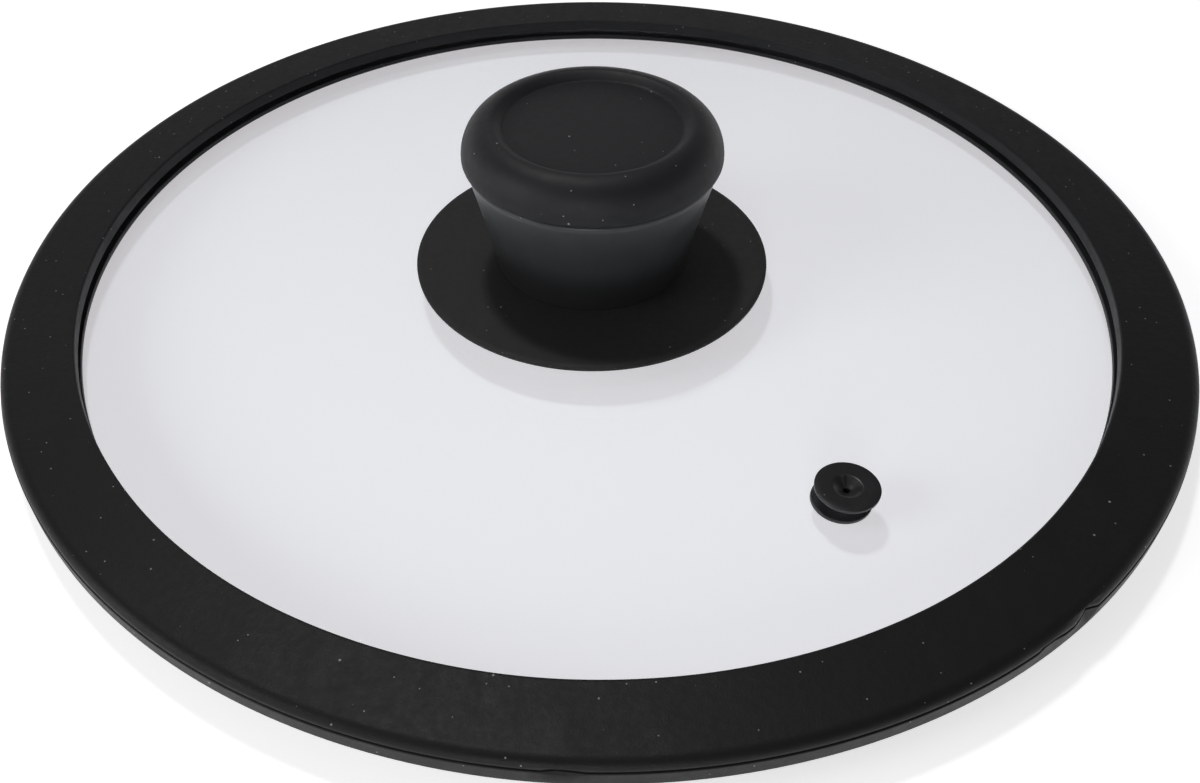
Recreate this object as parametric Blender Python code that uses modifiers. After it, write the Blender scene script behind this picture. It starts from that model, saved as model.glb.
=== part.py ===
# Flat glass lid with a silicone rim and a screwed-on knob, for a 24 cm pan.
# Metres, +Z up. The origin is the centre of the plane that the lid's foot rests on.
import bpy
import bmesh
from math import cos, pi, radians, sin
from mathutils import Matrix

# Driving dimensions of the rim. Heights are measured from the rest plane.
GAP = 0.0003
RIM_RADIUS = 0.1263
RIM_TOP = 0.011
FLANGE_INNER = 0.1117
FLANGE_THICKNESS = 0.0025
ROLL_WIDTH = 0.0022
CREASE_DROP = 0.00175
LIP_DROP = 0.0051
LIP_PROUD = 0.0002
FOOT_OUTER = 0.1196
FOOT_INNER = 0.1172
UNDER_FLANGE = 0.001

# The pane and what is clamped to it.
GLASS_RADIUS = 0.116
GLASS_THICKNESS = 0.004
GLASS_TOP = RIM_TOP - FLANGE_THICKNESS - GAP
GLASS_BOTTOM = GLASS_TOP - GLASS_THICKNESS
SHEET = 0.0008
BASE_RADIUS = 0.0393
GASKET_RADIUS = 0.009
WASHER_RADIUS = 0.0075

# M5 screw, low pan head, and its brass insert.
SCREW_RADIUS = 0.0025
HEAD_RADIUS = 0.005
HEAD_HEIGHT = 0.0015
SCREW_TIP = 0.025
INSERT_RADIUS = 0.004
INSERT_LENGTH = 0.012
CLEARANCE_HOLE = SCREW_RADIUS + 0.0005

# The knob.
NECK_FOOT_RADIUS = 0.0212
NECK_TOP_RADIUS = 0.0267
NECK_FLARE = 1.1
CAP_RADIUS = 0.0276
CAP_BOTTOM = 0.0344
CAP_WIDEST = 0.0356
CAP_CREST = 0.0429
CREST_RADIUS = 0.0216
RECESS_RADIUS = 0.0188
RECESS_FLOOR = 0.04135
SPIGOT_RADIUS = 0.0197
SPIGOT_TOP = 0.0375

# The steam vent, near the rim at the front right.
VENT_X = 0.0466
VENT_Y = -0.0700
VENT_FLANGE = 0.0060
VENT_UNDER_FLANGE = 0.0055
VENT_NECK = 0.0035
VENT_SHEET = 0.0007
FUNNEL_RADIUS = 0.0027
STEAM_HOLE = 0.0006

# Steps round each turned shape.
RIM_STEPS = 72
KNOB_STEPS = 48
SMALL_STEPS = 32

# Stack heights, worked out from the sizes above.
BASE_BOTTOM = GLASS_TOP + GAP
BASE_TOP = BASE_BOTTOM + SHEET
NECK_BOTTOM = BASE_TOP + GAP
GASKET_TOP = GLASS_BOTTOM - GAP
GASKET_BOTTOM = GASKET_TOP - SHEET
WASHER_TOP = GASKET_BOTTOM - GAP
WASHER_BOTTOM = WASHER_TOP - SHEET
HEAD_TOP = WASHER_BOTTOM - GAP
HEAD_BOTTOM = HEAD_TOP - HEAD_HEIGHT
INSERT_TOP = SCREW_TIP
INSERT_BOTTOM = INSERT_TOP - INSERT_LENGTH


def startScene():
    for old in list(bpy.data.objects):
        bpy.data.objects.remove(old, do_unlink=True)
    made = []
    for name in ("glass_lid", "cutters"):
        group = bpy.data.collections.new(name)
        bpy.context.scene.collection.children.link(group)
        made.append(group)
    return made


def makeMaterial(name, color, roughness, metallic=0.0, transmission=0.0):
    material = bpy.data.materials.new(name)
    material.use_nodes = True
    shader = material.node_tree.nodes["Principled BSDF"]
    shader.inputs["Base Color"].default_value = (*color, 1.0)
    shader.inputs["Roughness"].default_value = roughness
    shader.inputs["Metallic"].default_value = metallic
    shader.inputs["Transmission Weight"].default_value = transmission
    return material


# Points of an elliptical arc in the (radius, height) plane, angles in degrees.
def arc(centerR, centerZ, radiusR, radiusZ, start, end, steps=5):
    points = []
    for step in range(steps + 1):
        angle = radians(start + (end - start) * step / steps)
        points.append((centerR + radiusR * cos(angle), centerZ + radiusZ * sin(angle)))
    return points


# Outer side of a round plate, from its top edge down to its bottom edge.
def roundedPlate(radius, bottom, top, edge):
    upper = arc(radius - edge, top - edge, edge, edge, 90, 0, 2)
    lower = arc(radius - edge, bottom + edge, edge, edge, 0, -90, 2)
    return upper + lower


# Turns a closed profile about +Z. It runs down the outer side and up the inner one.
def turned(name, group, profile, material, steps, place=(0, 0, 0)):
    mesh = bpy.data.meshes.new(name)
    form = bmesh.new()
    points = [form.verts.new((radius, 0, height)) for radius, height in profile]
    for first, second in zip(points, points[1:]):
        form.edges.new((first, second))
    if profile[0][0] > 0:
        form.edges.new((points[-1], points[0]))
    form.to_mesh(mesh)
    form.free()
    turnedPart = bpy.data.objects.new(name, mesh)
    turnedPart.location = place
    group.objects.link(turnedPart)
    screw = turnedPart.modifiers.new("turn", "SCREW")
    screw.axis = "Z"
    screw.angle = 2 * pi
    screw.steps = screw.render_steps = steps
    screw.use_merge_vertices = True
    screw.merge_threshold = 0.00001
    if material:
        turnedPart.data.materials.append(material)
    return turnedPart


def cut(part, cutter):
    cutter.hide_render = True
    cutter.display_type = "WIRE"
    modifier = part.modifiers.new("cut", "BOOLEAN")
    modifier.operation = "DIFFERENCE"
    modifier.solver = "EXACT"
    modifier.object = cutter


def drill(name, group, radius, bottom, top, place=(0, 0, 0)):
    profile = [(0, top), (radius, top), (radius, bottom), (0, bottom)]
    return turned(name, group, profile, None, SMALL_STEPS, place)


def ring(name, group, outer, inner, bottom, top, material, edge=0.0002, steps=SMALL_STEPS):
    profile = roundedPlate(outer, bottom, top, edge) + [(inner, bottom), (inner, top)]
    return turned(name, group, profile, material, steps)


def makeRim(parts):
    rubber = makeMaterial("silicone", (0.022, 0.022, 0.024), 0.55)
    rollDepth = CREASE_DROP - 0.0002
    lip = RIM_RADIUS + LIP_PROUD
    crease = RIM_TOP - CREASE_DROP
    lipBottom = RIM_TOP - LIP_DROP
    grooveRadius = GLASS_RADIUS + GAP
    grooveTop = RIM_TOP - FLANGE_THICKNESS
    grooveBottom = GLASS_BOTTOM - GAP
    profile = [(FLANGE_INNER + 0.0004, RIM_TOP)]
    profile += arc(RIM_RADIUS - ROLL_WIDTH, RIM_TOP - rollDepth, ROLL_WIDTH, rollDepth, 90, 0, 5)
    profile += [(RIM_RADIUS - 0.0004, crease - 0.0001)]
    profile += arc(lip - 0.0004, crease - 0.0007, 0.0004, 0.0004, 90, 0, 2)
    profile += arc(lip - 0.0004, lipBottom + 0.0004, 0.0004, 0.0004, 0, -90, 2)
    profile += [(FOOT_OUTER + 0.0003, lipBottom), (FOOT_OUTER, lipBottom - 0.0003)]
    profile += arc(FOOT_OUTER - 0.0006, 0.0006, 0.0006, 0.0006, 0, -90, 2)
    profile += arc(FOOT_INNER + 0.0006, 0.0006, 0.0006, 0.0006, -90, -180, 2)
    profile += [(FOOT_INNER, grooveBottom - UNDER_FLANGE)]
    profile += [(FLANGE_INNER, grooveBottom - UNDER_FLANGE), (FLANGE_INNER, grooveBottom)]
    profile += [(grooveRadius, grooveBottom), (grooveRadius, grooveTop)]
    profile += [(FLANGE_INNER, grooveTop), (FLANGE_INNER, RIM_TOP - 0.0004)]
    turned("silicone_rim", parts, profile, rubber, RIM_STEPS)


def makeGlass(parts, cutters):
    glass = makeMaterial("glass", (0.86, 0.92, 0.91), 0.03, 0.0, 1.0)
    profile = [(0, GLASS_TOP)] + roundedPlate(GLASS_RADIUS, GLASS_BOTTOM, GLASS_TOP, 0.0006)
    profile += [(0, GLASS_BOTTOM)]
    pane = turned("glass_pane", parts, profile, glass, RIM_STEPS)
    low = GLASS_BOTTOM - 0.002
    high = GLASS_TOP + 0.002
    cut(pane, drill("knob_hole", cutters, CLEARANCE_HOLE, low, high))
    cut(pane, drill("vent_hole", cutters, VENT_NECK + GAP, low, high, (VENT_X, VENT_Y, 0)))


def makeVent(parts):
    rubber = makeMaterial("vent_silicone", (0.02, 0.02, 0.022), 0.5)
    top = GLASS_TOP + GAP + VENT_SHEET
    bottom = GLASS_BOTTOM - GAP - VENT_SHEET
    funnelBottom = GLASS_BOTTOM + 0.0008
    profile = roundedPlate(VENT_FLANGE, top - VENT_SHEET, top, 0.0002)
    profile += [(VENT_NECK, top - VENT_SHEET), (VENT_NECK, bottom + VENT_SHEET)]
    profile += roundedPlate(VENT_UNDER_FLANGE, bottom, bottom + VENT_SHEET, 0.0002)
    profile += [(STEAM_HOLE, bottom), (STEAM_HOLE, funnelBottom)]
    profile += [(FUNNEL_RADIUS - 0.0003, top - 0.0003), (FUNNEL_RADIUS + 0.0002, top)]
    turned("vent_grommet", parts, profile, rubber, SMALL_STEPS, (VENT_X, VENT_Y, 0))


# The round plates that clamp the pane between the knob and the screw head.
def makeSeat(parts):
    plate = makeMaterial("base_plate", (0.018, 0.018, 0.019), 0.5)
    rubber = makeMaterial("gasket_silicone", (0.03, 0.03, 0.032), 0.6)
    steel = makeMaterial("steel", (0.62, 0.62, 0.6), 0.28, 1.0)
    hole = CLEARANCE_HOLE
    ring("base_disc", parts, BASE_RADIUS, hole, BASE_BOTTOM, BASE_TOP, plate, 0.0003, RIM_STEPS)
    ring("lower_gasket", parts, GASKET_RADIUS, hole, GASKET_BOTTOM, GASKET_TOP, rubber)
    ring("steel_washer", parts, WASHER_RADIUS, hole, WASHER_BOTTOM, WASHER_TOP, steel)


def makeScrew(parts, cutters):
    steel = makeMaterial("screw_steel", (0.6, 0.6, 0.58), 0.3, 1.0)
    profile = [(0, SCREW_TIP), (SCREW_RADIUS - 0.0005, SCREW_TIP), (SCREW_RADIUS, SCREW_TIP - 0.0005)]
    profile += [(SCREW_RADIUS, HEAD_TOP), (HEAD_RADIUS, HEAD_TOP)]
    profile += arc(HEAD_RADIUS - 0.0009, HEAD_BOTTOM + 0.0009, 0.0009, 0.0009, 0, -90, 4)
    profile += [(0, HEAD_BOTTOM)]
    screw = turned("knob_screw", parts, profile, steel, SMALL_STEPS)
    for turn in (0, 90):
        name = "recess_%d" % turn
        mesh = bpy.data.meshes.new(name)
        form = bmesh.new()
        bmesh.ops.create_cube(form, size=1.0)
        bmesh.ops.scale(form, vec=(0.0046, 0.0009, 0.002), verts=form.verts)
        bmesh.ops.rotate(form, matrix=Matrix.Rotation(radians(turn), 3, "Z"), verts=form.verts)
        form.to_mesh(mesh)
        form.free()
        slot = bpy.data.objects.new(name, mesh)
        slot.location.z = HEAD_BOTTOM
        cutters.objects.link(slot)
        cut(screw, slot)


def makeInsert(parts):
    brass = makeMaterial("brass", (0.75, 0.56, 0.25), 0.32, 1.0)
    grooveTop = INSERT_BOTTOM + INSERT_LENGTH * 0.58
    grooveBottom = INSERT_BOTTOM + INSERT_LENGTH * 0.42
    waist = INSERT_RADIUS - 0.0005
    profile = [(INSERT_RADIUS - 0.0003, INSERT_TOP), (INSERT_RADIUS, INSERT_TOP - 0.0003)]
    profile += [(INSERT_RADIUS, grooveTop), (waist, grooveTop), (waist, grooveBottom)]
    profile += [(INSERT_RADIUS, grooveBottom), (INSERT_RADIUS, INSERT_BOTTOM)]
    profile += [(SCREW_RADIUS + GAP, INSERT_BOTTOM), (SCREW_RADIUS + GAP, INSERT_TOP)]
    turned("thread_insert", parts, profile, brass, SMALL_STEPS)


def makeNeck(parts):
    plastic = makeMaterial("neck_plastic", (0.03, 0.036, 0.038), 0.35)
    top = CAP_BOTTOM - GAP
    pocketTop = INSERT_TOP + GAP
    pocketBottom = INSERT_BOTTOM - GAP
    pocketRadius = INSERT_RADIUS + GAP
    profile = [(0, SPIGOT_TOP), (SPIGOT_RADIUS, SPIGOT_TOP), (SPIGOT_RADIUS, top)]
    profile += [(NECK_TOP_RADIUS - 0.0003, top), (NECK_TOP_RADIUS, top - 0.0003)]
    flare = NECK_TOP_RADIUS - NECK_FOOT_RADIUS
    steps = 7
    for step in range(1, steps):
        drop = step / steps
        radius = NECK_FOOT_RADIUS + flare * (1 - drop) ** NECK_FLARE
        profile.append((radius, top + (NECK_BOTTOM - top) * drop))
    profile += [(NECK_FOOT_RADIUS, NECK_BOTTOM + 0.0002), (NECK_FOOT_RADIUS - 0.0002, NECK_BOTTOM)]
    profile += [(CLEARANCE_HOLE, NECK_BOTTOM), (CLEARANCE_HOLE, pocketBottom)]
    profile += [(pocketRadius, pocketBottom), (pocketRadius, pocketTop), (0, pocketTop)]
    turned("knob_neck", parts, profile, plastic, KNOB_STEPS)


def makeCap(parts):
    plastic = makeMaterial("cap_soft_touch", (0.024, 0.025, 0.027), 0.6)
    rise = CAP_CREST - RECESS_FLOOR
    shoulder = CAP_RADIUS - CREST_RADIUS
    socketRadius = SPIGOT_RADIUS + GAP
    socketTop = SPIGOT_TOP + GAP
    profile = [(0, RECESS_FLOOR), (RECESS_RADIUS, RECESS_FLOOR)]
    ramp = CREST_RADIUS - RECESS_RADIUS
    steps = 4
    for step in range(1, steps):
        share = step / steps
        profile.append((RECESS_RADIUS + ramp * share, RECESS_FLOOR + rise * sin(share * pi / 2)))
    profile += arc(CREST_RADIUS, CAP_WIDEST, shoulder, CAP_CREST - CAP_WIDEST, 90, 0, 8)
    profile += arc(CAP_RADIUS - 0.0012, CAP_WIDEST, 0.0012, CAP_WIDEST - CAP_BOTTOM, -15, -90, 3)
    profile += [(socketRadius, CAP_BOTTOM), (socketRadius, socketTop), (0, socketTop)]
    turned("knob_cap", parts, profile, plastic, KNOB_STEPS)


def finishShading(parts):
    for part in parts.objects:
        part.data.shade_smooth()


parts, cutters = startScene()
makeRim(parts)
makeGlass(parts, cutters)
makeVent(parts)
makeSeat(parts)
makeScrew(parts, cutters)
makeInsert(parts)
makeNeck(parts)
makeCap(parts)
finishShading(parts)
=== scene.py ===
from math import atan2, cos, hypot, pi, radians, sin

import bmesh
import bpy
from mathutils import Matrix, Vector, noise


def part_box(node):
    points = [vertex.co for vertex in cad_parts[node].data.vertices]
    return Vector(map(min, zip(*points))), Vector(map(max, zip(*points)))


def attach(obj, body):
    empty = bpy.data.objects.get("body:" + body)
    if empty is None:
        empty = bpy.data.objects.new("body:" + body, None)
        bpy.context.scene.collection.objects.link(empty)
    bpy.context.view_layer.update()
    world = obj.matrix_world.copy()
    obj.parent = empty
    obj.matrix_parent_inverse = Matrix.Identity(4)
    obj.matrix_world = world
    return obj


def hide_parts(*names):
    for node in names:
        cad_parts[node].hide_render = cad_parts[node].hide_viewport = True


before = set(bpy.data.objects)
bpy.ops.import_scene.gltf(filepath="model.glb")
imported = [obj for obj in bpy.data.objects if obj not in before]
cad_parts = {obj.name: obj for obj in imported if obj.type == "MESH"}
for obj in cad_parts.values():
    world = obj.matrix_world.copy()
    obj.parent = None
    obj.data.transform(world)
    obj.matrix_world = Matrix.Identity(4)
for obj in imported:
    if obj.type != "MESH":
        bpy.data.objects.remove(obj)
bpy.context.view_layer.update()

rimLow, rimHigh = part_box("silicone_rim")
glassLow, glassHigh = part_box("glass_pane")
discLow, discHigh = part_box("base_disc")
neckLow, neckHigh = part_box("knob_neck")
capLow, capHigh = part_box("knob_cap")
insertLow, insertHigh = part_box("thread_insert")
screwLow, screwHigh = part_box("knob_screw")
washerLow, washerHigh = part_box("steel_washer")
gasketLow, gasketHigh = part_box("lower_gasket")
ventLow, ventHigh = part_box("vent_grommet")
mm = 0.001
touch = 0.05 * mm  # left between pieces that touch
noise.seed_set(11)  # noise vectors are drawn from the clock without it


class Wire:
    def __init__(self, finish, socket):
        self.finish = finish
        self.socket = socket

    def combine(self, operation, first, second):
        return self.finish.node("ShaderNodeMath", {"operation": operation}, {0: first, 1: second})

    def __add__(self, other):
        return self.combine("ADD", self, other)

    def __radd__(self, other):
        return self.combine("ADD", other, self)

    def __mul__(self, other):
        return self.combine("MULTIPLY", self, other)

    def __rmul__(self, other):
        return self.combine("MULTIPLY", other, self)

    def __pow__(self, other):
        return self.combine("POWER", self, other)

    def __lt__(self, other):
        return self.combine("LESS_THAN", self, other)


class Finish:
    def __init__(self, name):
        self.material = bpy.data.materials.new(name)
        self.material.use_nodes = True
        self.tree = self.material.node_tree
        self.shader = self.tree.nodes["Principled BSDF"]
        self.output = self.tree.nodes["Material Output"]
        self.place = self.node("ShaderNodeTexCoord", out="Object")

    def node(self, kind, settings=None, inputs=None, out=0):
        made = self.tree.nodes.new(kind)
        for key, value in (settings or {}).items():
            setattr(made, key, value)
        for key, value in (inputs or {}).items():
            self.feed(made.inputs[key], value)
        return Wire(self, made.outputs[out])

    def feed(self, socket, value):
        if isinstance(value, Wire):
            self.tree.links.new(value.socket, socket)
        elif socket.type == "RGBA" and len(value) == 3:
            socket.default_value = (*value, 1)
        else:
            socket.default_value = value

    def put(self, **values):
        for key, value in values.items():
            self.feed(self.shader.inputs[key.replace("_", " ")], value)

    def cloud(self, size, detail=3.0, roughness=0.55, place=None):  # noise about 0.5, in spots of this size
        sockets = {"Vector": place or self.place, "Scale": 1 / size}
        sockets.update({"Detail": detail, "Roughness": roughness})
        return self.node("ShaderNodeTexNoise", {}, sockets)

    def between(self, value, low, high, bottom=0.0, top=1.0):
        sockets = {"Value": value, "From Min": low, "From Max": high, "To Min": bottom, "To Max": top}
        return self.node("ShaderNodeMapRange", {"clamp": True}, sockets)

    def blend(self, factor, first, second):
        made = self.node("ShaderNodeMix", {"data_type": "RGBA"}, {0: factor}, out=2)
        self.feed(made.socket.node.inputs[6], first)
        self.feed(made.socket.node.inputs[7], second)
        return made

    def stretch(self, x, y, z):
        return self.node("ShaderNodeMapping", {}, {"Vector": self.place, "Scale": (x, y, z)})

    def around(self):  # (angle, radius, height) about the lid's axis
        parts = self.node("ShaderNodeSeparateXYZ", {}, {0: self.place})
        across = Wire(self, parts.socket.node.outputs[0])
        along = Wire(self, parts.socket.node.outputs[1])
        height = Wire(self, parts.socket.node.outputs[2])
        angle = self.node("ShaderNodeMath", {"operation": "ARCTAN2"}, {0: along, 1: across})
        radius = (across * across + along * along) ** 0.5
        return angle, radius, height

    def specks(self, spacing, size, share, seed=0.0):  # round dust specks, on this share of the cells
        moved = {"Vector": self.place, "Location": (seed, seed * 0.7, 0)}
        shifted = self.node("ShaderNodeMapping", {}, moved)
        cell = self.node("ShaderNodeTexVoronoi", {}, {"Vector": shifted, "Scale": 1 / spacing})
        color = Wire(self, cell.socket.node.outputs["Color"])
        chance = self.node("ShaderNodeSeparateColor", {}, {0: color})
        near = self.between(cell, size / spacing, size / spacing * 0.5)
        return near * (chance < share)

    def bump(self, height, depth, normal=None):
        sockets = {"Height": height, "Distance": depth, "Strength": 1.0}
        if normal:
            sockets["Normal"] = normal
        return self.node("ShaderNodeBump", {}, sockets)


handling = {"dust": (0.52, 0.53, 0.55), "dustShown": 0.6, "fineSpecks": (2.0 * mm, 0.17 * mm),
            "bigSpecks": (5.0 * mm, 0.27 * mm)}


def moulded(name, base, worn, rough, grain, dustShare, sheen=0.0, footShade=None):
    # moulded rubber or plastic with handling marks; the optional last argument paints shade on the foot,
    # darker towards the bottom, as (low, high, color)
    finish = Finish(name)
    broad = finish.cloud(28 * mm, 4)
    fine = finish.cloud(1.6 * mm, 4, 0.65)
    pores = finish.cloud(0.28 * mm, 2, 0.6)
    rubbed = finish.between(broad * 0.6 + fine * 0.4, 0.50, 0.78)
    color = finish.blend(rubbed, base, worn)
    if footShade:
        low, high, shadedFootColor = footShade
        # painted shade: the colour darkens towards the foot, by height
        height = finish.around()[2]
        color = finish.blend(finish.between(height + broad * mm, low, high), shadedFootColor, color)
    smears = finish.cloud(5 * mm, 3, 0.6, finish.stretch(1.0, 0.35, 1.0))
    smeared = finish.between(smears, 0.62, 0.8, 0.0, 0.25)
    color = finish.blend(smeared, color, tuple(channel * 1.4 for channel in worn))
    fineDust = finish.specks(*handling["fineSpecks"], dustShare)
    dust = fineDust + finish.specks(*handling["bigSpecks"], dustShare, 3.1)
    dust = finish.between(dust, 0.0, 1.0)
    color = finish.blend(dust * handling["dustShown"], color, handling["dust"])
    finish.put(Base_Color=color)
    mottle = fine * 0.5 + smears * 0.5
    finish.put(Roughness=finish.between(mottle, 0.3, 0.7, rough + 0.07, rough - 0.07))
    finish.put(Normal=finish.bump(pores, grain, finish.bump(fine, grain * 1.6)))
    if sheen:
        finish.put(Sheen_Weight=sheen, Sheen_Roughness=0.5)
    return finish


def siliconeFinish():
    base, worn = (0.0085, 0.0085, 0.0092), (0.0135, 0.0134, 0.0142)
    finish = moulded("rimSilicone", base, worn, 0.48, 0.03 * mm, 0.4)
    finish.put(Specular_IOR_Level=0.24)
    return finish.material


def ventFinish():
    base, worn = (0.013, 0.013, 0.014), (0.026, 0.026, 0.027)
    return moulded("ventSilicone", base, worn, 0.36, 0.010 * mm, 0.10).material


def capFinish():
    base, worn = (0.0098, 0.0102, 0.0115), (0.015, 0.0155, 0.0168)
    finish = moulded("softTouch", base, worn, 0.54, 0.008 * mm, 0.35, sheen=0.02)
    finish.put(Specular_IOR_Level=0.34)
    return finish.material


def neckFinish():
    # painted shade: the neck darkens towards its foot, standing in for the disc's dark reflection and the
    # shade there
    footShade = (neckLow.z + 6.5 * mm, neckLow.z + 12.5 * mm, (0.017, 0.0175, 0.018))
    base, worn = (0.031, 0.0325, 0.0333), (0.036, 0.0375, 0.0385)
    return moulded("neckPlastic", base, worn, 0.34, 0.0012 * mm, 0.05, footShade=footShade).material


def discFinish():
    base, worn = (0.0215, 0.021, 0.0213), (0.0285, 0.028, 0.028)
    finish = moulded("basePlastic", base, worn, 0.6, 0.007 * mm, 0.22)
    finish.put(Specular_IOR_Level=0.28)
    return finish.material


def gasketFinish():
    base, worn = (0.02, 0.02, 0.021), (0.035, 0.035, 0.036)
    return moulded("gasketSilicone", base, worn, 0.58, 0.012 * mm, 0.10).material


glassLook = {"tint": (0.940, 0.914, 0.938), "lampTint": (0.80, 0.85, 0.855)}


def glassFinish():
    finish = Finish("clearGlass")
    haze = finish.cloud(34 * mm, 4, 0.6)
    wiped = finish.cloud(9 * mm, 3, 0.6, finish.stretch(0.5, 1.8, 1.0))
    smudge = finish.between(haze * 0.65 + wiped * 0.35, 0.56, 0.74, 0.0, 0.035)
    scratches = finish.node(
        "ShaderNodeTexWave",
        {"wave_type": "BANDS", "bands_direction": "DIAGONAL"},
        {"Vector": finish.place, "Scale": 7.0, "Distortion": 9.0, "Detail": 2.0, "Detail Scale": 1.5},
    )
    hair = finish.between(scratches, 0.9975, 0.9995) * finish.between(haze, 0.55, 0.62)
    finish.put(Base_Color=glassLook["tint"], Transmission_Weight=1.0, IOR=1.5)
    finish.put(Roughness=smudge + hair * 0.12)
    ripple = finish.cloud(60 * mm, 1)
    finish.put(Normal=finish.bump(ripple, 0.05 * mm))
    lamps = finish.node("ShaderNodeLightPath", out="Is Shadow Ray")
    bounced = Wire(finish, lamps.socket.node.outputs["Is Diffuse Ray"])
    lamps = lamps.combine("MAXIMUM", lamps, bounced)  # light reaches the floor and the rim straight through
    clear = finish.node("ShaderNodeBsdfTransparent", {}, {0: glassLook["lampTint"]})
    mixed = finish.node("ShaderNodeMixShader", {}, {0: lamps, 2: clear})
    finish.feed(mixed.socket.node.inputs[1], Wire(finish, finish.shader.outputs[0]))
    finish.feed(finish.output.inputs[0], mixed)
    return finish.material


def metal(name, base, tarnish, rough, ringSize):  # turned metal with fine rings and a little tarnish
    finish = Finish(name)
    angle, radius, height = finish.around()
    lines = finish.node("ShaderNodeCombineXYZ", {}, {0: radius, 1: height, 2: angle * 0.0004})
    rings = finish.cloud(ringSize, 3, 0.6, lines)
    patches = finish.cloud(3.5 * mm, 4, 0.6)
    finish.put(Base_Color=finish.blend(finish.between(patches, 0.42, 0.68), base, tarnish))
    turnedMarks = rings * 0.6 + patches * 0.4
    finish.put(Metallic=1.0, Roughness=finish.between(turnedMarks, 0.3, 0.7, rough - 0.07, rough + 0.1))
    finish.put(Normal=finish.bump(rings, 0.004 * mm))
    return finish.material


def arc(center, radii, start, end, count):  # points of an elliptical arc, in degrees
    angles = [radians(start + (end - start) * step / count) for step in range(count + 1)]
    return [(center[0] + radii[0] * cos(angle), center[1] + radii[1] * sin(angle)) for angle in angles]


def turned(profile, steps):  # corners of (radius, height) or (radius, height, rounding), spun about +Z
    form = bmesh.new()
    points = [form.verts.new((corner[0], 0, corner[1])) for corner in profile]
    for first, second in zip(points, points[1:]):
        form.edges.new((first, second))
    if profile[0][0] > 0:
        form.edges.new((points[-1], points[0]))
    for point, corner in zip(points, profile):
        if len(corner) == 3:
            bmesh.ops.bevel(
                form, geom=[point], offset=corner[2], offset_type="OFFSET", segments=5,
                profile=0.5, affect="VERTICES", material=-1,
            )
    guard = 0.22 * mm
    for edge in list(form.edges):  # keeps the shading of long flats from bending at their ends
        length = edge.calc_length()
        if length > 8 * guard:
            edge, point = bmesh.utils.edge_split(edge, edge.verts[0], guard / length)
            rest = max(point.link_edges, key=lambda side: side.calc_length())
            bmesh.utils.edge_split(rest, rest.other_vert(point), guard / rest.calc_length())
    bmesh.ops.spin(
        form, geom=form.verts[:] + form.edges[:], cent=(0, 0, 0), axis=(0, 0, 1), dvec=(0, 0, 0),
        angle=2 * pi, steps=steps, use_merge=True, use_duplicate=False,
    )
    bmesh.ops.remove_doubles(form, verts=form.verts, dist=0.002 * mm)
    bmesh.ops.recalc_face_normals(form, faces=form.faces)
    return form


def waver(form, amount, size, seed):  # small moulding unevenness
    for vert in form.verts:
        vert.co += noise.noise_vector(vert.co / size + Vector((seed, 0, 0))) * amount


def asPiece(name, form, material, body, nodes):
    mesh = bpy.data.meshes.new(name)
    form.to_mesh(mesh)
    form.free()
    mesh.shade_smooth()
    mesh.materials.append(material)
    piece = bpy.data.objects.new(name, mesh)
    bpy.context.scene.collection.objects.link(piece)
    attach(piece, body)
    if nodes:
        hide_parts(*nodes)
    return piece


def cutAway(piece, cutterForm):  # a Boolean cut, applied at once
    cutterMesh = bpy.data.meshes.new("cutter")
    cutterForm.to_mesh(cutterMesh)
    cutterForm.free()
    cutter = bpy.data.objects.new("cutter", cutterMesh)
    bpy.context.scene.collection.objects.link(cutter)
    modifier = piece.modifiers.new("cut", "BOOLEAN")
    modifier.operation = "DIFFERENCE"
    modifier.solver = "EXACT"
    modifier.object = cutter
    graph = bpy.context.evaluated_depsgraph_get()
    cutMesh = bpy.data.meshes.new_from_object(piece.evaluated_get(graph))
    piece.modifiers.remove(modifier)
    piece.data = cutMesh
    bpy.data.objects.remove(cutter)


rim = {"steps": 360, "rollWidth": 2.2 * mm, "crease": 1.75 * mm, "lip": 5.1 * mm, "proud": 0.2 * mm,
       "flangeWidth": 14.8 * mm, "underFlange": 1.0 * mm, "footGap": 3.6 * mm, "footWidth": 2.4 * mm,
       "waver": 0.07 * mm,
       "nicks": ((-91.7, -0.5 * mm, 0.5 * mm), (-50.2, -1.1 * mm, 1.25 * mm), (-54.5, -0.5 * mm, 0.6 * mm))}


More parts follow.
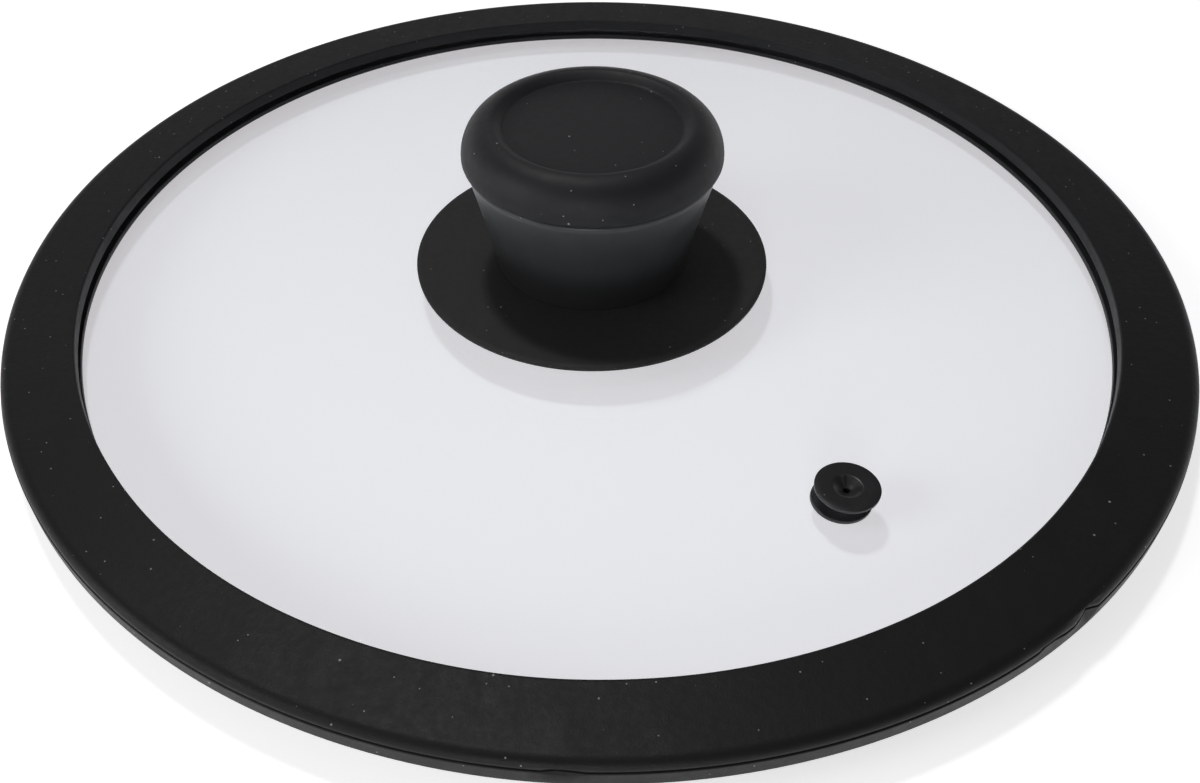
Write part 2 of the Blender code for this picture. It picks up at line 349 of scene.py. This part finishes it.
def makeRim(material):
    top = rimHigh.z
    lipRadius = rimHigh.x
    topRadius = lipRadius - rim["proud"]
    inner = lipRadius - rim["flangeWidth"]
    creaseHeight = top - rim["crease"]
    lipBottom = top - rim["lip"]
    foot = glassHigh.x + rim["footGap"]
    footInner = foot - rim["footWidth"]
    groove = glassHigh.x + touch
    rollDepth = rim["crease"] - 0.25 * mm
    profile = [(inner, top, 0.45 * mm)]
    rollCenter = (topRadius - rim["rollWidth"], top - rollDepth)
    profile += arc(rollCenter, (rim["rollWidth"], rollDepth), 90, 0, 12)
    profile += [(topRadius - 0.1 * mm, creaseHeight + 0.12 * mm)]
    profile += [(topRadius - 0.4 * mm, creaseHeight, 0.06 * mm)]
    profile += [(lipRadius, creaseHeight - 0.16 * mm, 0.16 * mm), (lipRadius, lipBottom, 0.4 * mm)]
    profile += [(foot, lipBottom, 0.3 * mm), (foot, 0, 0.6 * mm), (footInner, 0, 0.6 * mm)]
    lowFlange = glassLow.z - 0.3 * mm - rim["underFlange"]
    grooveLow = glassLow.z - touch
    grooveHigh = glassHigh.z + touch
    profile += [(footInner, lowFlange, 0.3 * mm), (inner, lowFlange, 0.3 * mm)]
    profile += [(inner, grooveLow, 0.15 * mm), (groove, grooveLow)]
    profile += [(groove, grooveHigh), (inner, grooveHigh, 0.15 * mm)]
    form = turned(profile, rim["steps"])
    for vert in form.verts:  # the soft edge isn't quite round
        if vert.co.z > lipBottom - 0.1 * mm:
            angle = atan2(vert.co.y, vert.co.x)
            out = Vector((vert.co.x, vert.co.y, 0)).normalized()
            lift = noise.noise(Vector((cos(angle) * 2.2, sin(angle) * 2.2, 4.0)))
            lift += 0.5 * noise.noise(Vector((cos(angle) * 7, sin(angle) * 7, 9.0)))
            vert.co += out * lift * rim["waver"]
    for nickAngle, reach, spread in rim["nicks"]:  # flash and a cut left at the parting line
        for vert in form.verts:
            away = abs(atan2(vert.co.y, vert.co.x) - radians(nickAngle))
            outer = hypot(vert.co.x, vert.co.y) > topRadius - mm
            if away < radians(0.9) and abs(vert.co.z - creaseHeight) < spread and outer:
                vert.co.xy = vert.co.xy * (1 + reach * (1 - away / radians(1.2)) / topRadius)
    asPiece("rimSilicone", form, material, "lid", ["silicone_rim"])


pane = {"steps": 256, "edge": 0.8 * mm, "knobHole": 3.0 * mm, "ventHole": 3.75 * mm}


def makePane(material):
    radius = glassHigh.x
    profile = [(pane["knobHole"], glassHigh.z, 0.3 * mm), (radius, glassHigh.z, pane["edge"])]
    profile += [(radius, glassLow.z, pane["edge"]), (pane["knobHole"], glassLow.z, 0.3 * mm)]
    form = turned(profile, pane["steps"])
    piece = asPiece("clearPane", form, material, "lid", ["glass_pane"])
    hole = bmesh.new()
    center = (ventLow + ventHigh) / 2
    place = Matrix.Translation((center.x, center.y, (glassLow.z + glassHigh.z) / 2))
    bmesh.ops.create_cone(
        hole, cap_ends=True, segments=64, radius1=pane["ventHole"], radius2=pane["ventHole"],
        depth=10 * mm, matrix=place,
    )
    cutAway(piece, hole)
    piece.data.set_sharp_from_angle(angle=radians(40))


vent = {"steps": 96, "neck": 3.5 * mm, "funnel": 2.7 * mm, "hole": 0.6 * mm,
        "askew": 0.7 * mm, "waver": 0.04 * mm}


def makeVent(material):
    center = (ventLow + ventHigh) / 2
    radius = (ventHigh.x - ventLow.x) / 2
    top = ventHigh.z
    low = ventLow.z
    underTop = glassHigh.z + touch
    underLow = glassLow.z - touch
    lowRadius = radius - 0.4 * mm
    profile = [(vent["hole"], low, 0.15 * mm), (vent["hole"], top - 1.2 * mm, 0.15 * mm)]
    profile += [(vent["funnel"] * 0.5, top - 0.85 * mm, 0.4 * mm)]
    profile += [(vent["funnel"], top - 0.05 * mm, 0.2 * mm)]
    profile += [(radius * 0.82, top - 0.03 * mm), (radius, top - 0.06 * mm, 0.22 * mm)]
    profile += [(radius - 0.08 * mm, underTop + 0.1 * mm, 0.1 * mm)]
    profile += [(vent["neck"], underTop + 0.05 * mm), (vent["neck"], underLow)]
    profile += [(lowRadius, underLow, 0.15 * mm), (lowRadius, low + 0.1 * mm, 0.25 * mm)]
    form = turned(list(reversed(profile)), vent["steps"])
    for vert in form.verts:  # a slit pinched into the funnel's wall, and a neck that leans under the glass
        angle = atan2(vert.co.y, vert.co.x)
        radial = hypot(vert.co.x, vert.co.y)
        if vent["hole"] < radial < vent["funnel"] and vert.co.z > top - 2 * mm:
            pinch = max(0.0, 1 - abs(angle - radians(100)) / radians(12))
            vert.co.xy = vert.co.xy * (1 - 0.14 * pinch)
        sunk = min(1.0, max(0.0, (underTop - vert.co.z) / (underTop - low)))
        vert.co.x -= vent["askew"] * sunk
    bmesh.ops.translate(form, verts=form.verts, vec=(center.x, center.y, 0))
    waver(form, vent["waver"], 4 * mm, 2.0)
    asPiece("steamVent", form, material, "lid", ["vent_grommet"])


stack = {"steps": 192, "smallSteps": 96, "hole": 3.0 * mm, "rise": 0.25 * mm}


def makeDisc(material):
    profile = [(stack["hole"], discHigh.z, 0.1 * mm), (discHigh.x - 0.9 * mm, discHigh.z)]
    under = discLow.z - 0.2 * mm
    profile += [(discHigh.x, discHigh.z - 0.25 * mm, 0.2 * mm), (discHigh.x, under, 0.12 * mm)]
    profile += [(stack["hole"], under)]
    asPiece("baseDisc", turned(profile, stack["steps"]), material, "lid", ["base_disc"])


def makeGasket(material):
    radius = gasketHigh.x
    top = gasketHigh.z + stack["rise"]
    profile = [(stack["hole"], top, 0.1 * mm), (radius, top, 0.15 * mm)]
    profile += [(radius, gasketLow.z, 0.35 * mm), (stack["hole"], gasketLow.z, 0.1 * mm)]
    form = turned(profile, stack["smallSteps"])
    asPiece("underGasket", form, material, "lid", ["lower_gasket"])


def makeWasher(material):
    radius = washerHigh.x
    top = washerHigh.z + stack["rise"]
    profile = [(stack["hole"], top, 0.05 * mm), (radius, top, 0.05 * mm)]
    profile += [(radius, washerLow.z, 0.22 * mm), (stack["hole"], washerLow.z, 0.12 * mm)]
    form = turned(profile, stack["smallSteps"])
    asPiece("flatWasher", form, material, "lid", ["steel_washer"])


screw = {"steps": 96, "radius": 2.5 * mm, "pitch": 0.8 * mm, "depth": 0.4 * mm, "perTurn": 24,
         "shank": 1.2 * mm, "domeWidth": 1.1 * mm, "domeHeight": 1.0 * mm, "recess": 2.3 * mm,
         "wing": 0.42 * mm, "recessDepth": 2.2 * mm}


def makeScrew(material):
    radius = screw["radius"]
    headRadius = screwHigh.x
    headTop = washerLow.z - touch
    core = radius - screw["depth"]
    threadStart = headTop + screw["shank"]
    tip = screwHigh.z
    shankTop = threadStart + 0.2 * mm
    shankRadius = radius - 0.05 * mm
    domeCenter = (headRadius - screw["domeWidth"], screwLow.z + screw["domeHeight"])
    profile = [(0, shankTop), (shankRadius, shankTop), (shankRadius, headTop, 0.15 * mm)]
    profile += [(headRadius, headTop, 0.15 * mm)]
    profile += arc(domeCenter, (screw["domeWidth"], screw["domeHeight"]), 0, -90, 8)[1:]
    profile += [(0, screwLow.z)]
    piece = asPiece("knobScrewHead", turned(profile, screw["steps"]), material, "screw", [])
    for turn in (45, 135):  # a cross recess, narrower at its foot
        wing = bmesh.new()
        bmesh.ops.create_cube(wing, size=1.0)
        spread = (2 * screw["recess"], 2 * screw["wing"], screw["recessDepth"])
        bmesh.ops.scale(wing, vec=spread, verts=wing.verts)
        for vert in wing.verts:
            if vert.co.z > 0:
                vert.co.x *= 0.45
                vert.co.y *= 0.7
        bmesh.ops.rotate(wing, matrix=Matrix.Rotation(radians(turn), 3, "Z"), verts=wing.verts)
        bmesh.ops.translate(wing, verts=wing.verts, vec=(0, 0, screwLow.z))
        cutAway(piece, wing)
    piece.data.set_sharp_from_angle(angle=radians(38))
    thread = bmesh.new()  # one tooth's outline, carried round and up by the spin
    outline = [(core, 0), (core, 0.14 * mm), (radius, 0.36 * mm)]
    outline += [(radius, 0.44 * mm), (core, 0.66 * mm), (core, screw["pitch"])]
    points = [thread.verts.new((across, 0, up)) for across, up in outline]
    edges = [thread.edges.new(pair) for pair in zip(points, points[1:])]
    turns = int((tip - 0.2 * mm - threadStart) / screw["pitch"]) - 1
    steps = turns * screw["perTurn"]
    bmesh.ops.spin(
        thread, geom=points + edges, cent=(0, 0, 0), axis=(0, 0, 1),
        dvec=(0, 0, screw["pitch"] / screw["perTurn"]), angle=2 * pi * turns, steps=steps,
        use_merge=False, use_duplicate=False,
    )
    bmesh.ops.translate(thread, verts=thread.verts, vec=(0, 0, threadStart))
    bmesh.ops.remove_doubles(thread, verts=thread.verts, dist=0.004 * mm)
    openEdges = [edge for edge in thread.edges if edge.is_boundary]
    bmesh.ops.holes_fill(thread, edges=openEdges, sides=0)
    top = max(vert.co.z for vert in thread.verts)
    bmesh.ops.create_cone(  # the screw's tapered tip
        thread, cap_ends=True, segments=48, radius1=core - 0.02 * mm, radius2=core - 0.5 * mm,
        depth=tip - top + 0.5 * mm, matrix=Matrix.Translation((0, 0, (tip + top - 0.5 * mm) / 2)),
    )
    bmesh.ops.recalc_face_normals(thread, faces=thread.faces)
    threadPiece = asPiece("knobScrewThread", thread, material, "screw", [])
    threadPiece.data.set_sharp_from_angle(angle=radians(30))
    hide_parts("knob_screw")


insert = {"teeth": 36, "hole": 2.62 * mm, "inset": 0.1 * mm, "waist": 0.5 * mm, "knurl": 0.1 * mm}


def makeInsert(material):
    radius = insertHigh.x
    low, high = insertLow.z, insertHigh.z
    band = radius - insert["inset"]
    waist = radius - insert["waist"]
    bandHeight = (high - low) * 0.42
    upper = high - bandHeight
    lower = low + bandHeight
    profile = [(insert["hole"], high, 0.25 * mm), (band, high, 0.3 * mm), (band, upper, 0.1 * mm)]
    profile += [(waist, upper - 0.1 * mm), (waist, lower + 0.1 * mm), (band, lower, 0.1 * mm)]
    profile += [(band, low, 0.3 * mm), (insert["hole"], low, 0.25 * mm)]
    form = turned(profile, insert["teeth"] * 4)
    for vert in form.verts:  # straight knurl
        radial = hypot(vert.co.x, vert.co.y)
        if radial > waist + 0.3 * mm:
            wave = cos(insert["teeth"] * atan2(vert.co.y, vert.co.x))
            vert.co.xy = vert.co.xy * (1 + insert["knurl"] * wave / radial)
    piece = asPiece("brassInsert", form, material, "knob", ["thread_insert"])
    piece.data.set_sharp_from_angle(angle=radians(50))


knob = {"steps": 192, "foot": 21.2 * mm, "flare": 1.1, "recess": 18.8 * mm, "crest": 21.0 * mm,
        "floorDrop": 1.55 * mm, "edge": 1.0 * mm, "crown": 0.2 * mm, "step": 0.4 * mm,
        "spigot": 19.7 * mm, "socket": 19.8 * mm, "neckEdge": 0.8 * mm, "neckDrop": 0.2 * mm}


def makeNeck(material):
    top = capLow.z - touch
    low = neckLow.z - knob["neckDrop"]
    topRadius = neckHigh.x
    spigot = knob["spigot"]
    pocket = insertHigh.x + touch
    pocketTop = insertHigh.z + 0.1 * mm
    edge = knob["neckEdge"]
    profile = [(0, neckHigh.z), (spigot, neckHigh.z, 0.3 * mm), (spigot, top)]
    profile += arc((topRadius - edge, top - edge), (edge, edge), 90, 0, 6)
    steps = 26
    flare = topRadius - knob["foot"]
    for step in range(1, steps):
        drop = step / steps
        across = knob["foot"] + flare * (1 - drop) ** knob["flare"]
        profile.append((across, top - edge + (low - top + edge) * drop))
    profile += [(knob["foot"], low, 0.15 * mm), (stack["hole"], low), (stack["hole"], insertLow.z - touch)]
    profile += [(pocket, insertLow.z - touch), (pocket, pocketTop), (0, pocketTop)]
    form = turned(profile, knob["steps"])
    asPiece("knobNeck", form, material, "knob", ["knob_neck"])


def makeCap(material):
    crestHeight = capHigh.z
    floorHeight = crestHeight - knob["floorDrop"]
    widest = capHigh.x
    widestHeight = capLow.z + knob["edge"]
    shoulder = widest - knob["crest"]
    profile = [(0, floorHeight + knob["crown"])]
    for step in range(1, 9):  # a floor a hair higher in its middle
        share = step / 9
        profile.append((knob["recess"] * share, floorHeight + knob["crown"] * (1 - share * share)))
    profile.append((knob["recess"], floorHeight, 0.15 * mm))
    ledge = knob["recess"] + 0.25 * mm
    profile.append((ledge, floorHeight + knob["step"], 0.15 * mm))
    rise = crestHeight - floorHeight - knob["step"]
    for step in range(1, 8):  # the gentle climb from the ledge to the crest
        share = step / 8
        across = ledge + (knob["crest"] - ledge) * share
        profile.append((across, crestHeight - rise * (1 - share) ** 1.4))
    profile += arc((knob["crest"], widestHeight), (shoulder, crestHeight - widestHeight), 90, 0, 28)[1:]
    profile += arc((widest - knob["edge"], widestHeight), (knob["edge"], knob["edge"]), -12, -90, 7)
    socketTop = neckHigh.z + 0.1 * mm
    profile += [(knob["socket"], capLow.z), (knob["socket"], socketTop), (0, socketTop)]
    form = turned(profile, knob["steps"])
    asPiece("knobCap", form, material, "knob", ["knob_cap"])


studio = {"floorSize": 6.0, "floorColor": (0.88, 0.88, 0.885), "floorGlow": 0.72,
          "horizon": (0.8, 0.8, 0.81), "high": (0.04, 0.041, 0.046)}
keyHeight = 1.25
keyElevation = radians(71.0)
keyBack = keyHeight * cos(keyElevation) / sin(keyElevation)
softboxes = {  # power, size, place, target
    "keySoftbox": (4.2, 0.12, (-0.22, keyBack, keyHeight), (0, 0, 0)),
    "overheadSoftbox": (0.7, 0.9, (0.1, -0.05, 1.3), (0, 0, 0)),
    "frontFill": (2.4, 0.5, (-0.15, -1.15, 0.5), (0, 0, 0.02)),
    "leftFill": (3.8, 0.6, (-1.0, -0.42, 0.62), (0, 0, 0.02)),
}


def makeFloor():
    form = bmesh.new()
    bmesh.ops.create_grid(form, x_segments=1, y_segments=1, size=studio["floorSize"] / 2)
    mesh = bpy.data.meshes.new("studioFloor")
    form.to_mesh(mesh)
    form.free()
    floor = bpy.data.objects.new("studioFloor", mesh)
    bpy.context.scene.collection.objects.link(floor)
    floor.location.z = rimLow.z - touch
    finish = Finish("paleFloor")
    finish.put(Base_Color=studio["floorColor"], Roughness=0.9, Specular_IOR_Level=0.1)
    finish.put(Emission_Color=studio["floorColor"], Emission_Strength=studio["floorGlow"])
    mesh.materials.append(finish.material)


def softbox(name, power, size, place, target):
    light = bpy.data.lights.new(name, "AREA")
    light.shape = "SQUARE"
    light.size = size
    light.energy = power
    lamp = bpy.data.objects.new(name, light)
    lamp.location = place
    lamp.rotation_euler = (Vector(target) - Vector(place)).to_track_quat("-Z", "Y").to_euler()
    bpy.context.scene.collection.objects.link(lamp)


def makeLights():
    for name, (power, size, place, target) in softboxes.items():
        softbox(name, power, size, place, target)
    world = bpy.data.worlds.new("studioWorld")
    bpy.context.scene.world = world
    world.use_nodes = True
    tree = world.node_tree
    background = tree.nodes["Background"]
    place = tree.nodes.new("ShaderNodeTexCoord")
    parts = tree.nodes.new("ShaderNodeSeparateXYZ")
    ramp = tree.nodes.new("ShaderNodeValToRGB")
    tree.links.new(place.outputs["Generated"], parts.inputs[0])
    tree.links.new(parts.outputs[2], ramp.inputs[0])
    tree.links.new(ramp.outputs[0], background.inputs["Color"])
    ramp.color_ramp.elements[0].position = 0.12
    ramp.color_ramp.elements[0].color = (*studio["horizon"], 1)
    ramp.color_ramp.elements[1].position = 0.44
    ramp.color_ramp.elements[1].color = (*studio["high"], 1)
    bpy.context.scene.view_settings.view_transform = "Standard"


view = {"place": (0.0, -0.20614, 0.16149), "aim": (-0.00694, -0.04804, 0.011), "lens": 33.7,
        "roll": 1.165, "shift": 0.0384}


def makeCamera():
    camera = bpy.data.cameras.new("studioCamera")
    camera.lens = view["lens"]
    camera.sensor_width = 36.0
    camera.shift_x = view["shift"]
    camera.clip_start = 0.01
    eye = bpy.data.objects.new("studioCamera", camera)
    look = (Vector(view["aim"]) - Vector(view["place"])).to_track_quat("-Z", "Y").to_matrix().to_4x4()
    roll = Matrix.Rotation(radians(-view["roll"]), 4, "Z")
    eye.matrix_world = Matrix.Translation(view["place"]) @ look @ roll
    bpy.context.scene.collection.objects.link(eye)
    bpy.context.scene.camera = eye


makeCamera()
makeFloor()
makeLights()
print("studio ready")
makeRim(siliconeFinish())
print("rim ready")
makePane(glassFinish())
print("pane ready")
makeVent(ventFinish())
makeDisc(discFinish())
makeGasket(gasketFinish())
steel = metal("brightSteel", (0.60, 0.60, 0.59), (0.42, 0.42, 0.41), 0.28, 0.12 * mm)
makeWasher(steel)
makeScrew(steel)
print("vent and clamp stack ready")
makeInsert(metal("turnedBrass", (0.72, 0.52, 0.23), (0.52, 0.36, 0.15), 0.30, 0.10 * mm))
makeNeck(neckFinish())
makeCap(capFinish())
print("knob ready")
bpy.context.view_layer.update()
